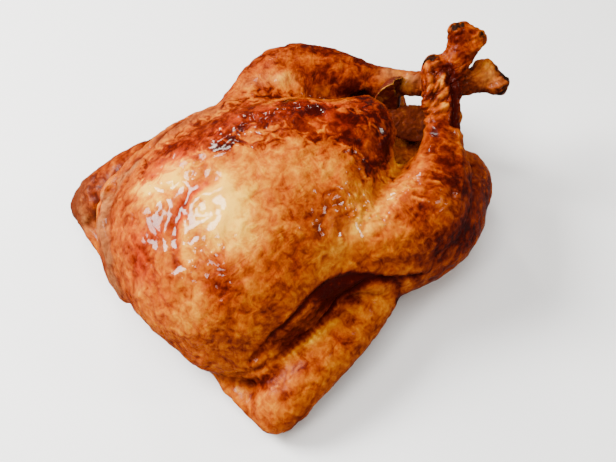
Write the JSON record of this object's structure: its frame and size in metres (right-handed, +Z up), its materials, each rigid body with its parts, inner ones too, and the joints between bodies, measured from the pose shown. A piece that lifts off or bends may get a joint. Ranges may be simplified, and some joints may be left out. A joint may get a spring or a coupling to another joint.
{
  "type": "roast turkey",
  "caption": "Whole roast turkey lying on its back, legs crossed over the open cavity, with a fruit wedge and an onion wedge inside.",
  "frame": {"origin": "under the middle of the bird's bounding box, on the surface that it lies on", "axes": "+X from the neck to the crossed leg ends, +Y the bird's left side, +Z up towards the breast"},
  "size_m": [0.3604, 0.2948, 0.1604],
  "materials": {
    "roast_skin": "browned roast skin, moist and glossy on the breast",
    "roast_fruit": "soft roasted fruit, satin",
    "roast_onion": "soft roasted onion, satin"
  },
  "bodies": {
    "root": {"turkey": "roast_skin", "fruit_wedge": "roast_fruit", "onion_wedge": "roast_onion"}
  },
  "joints": []
}
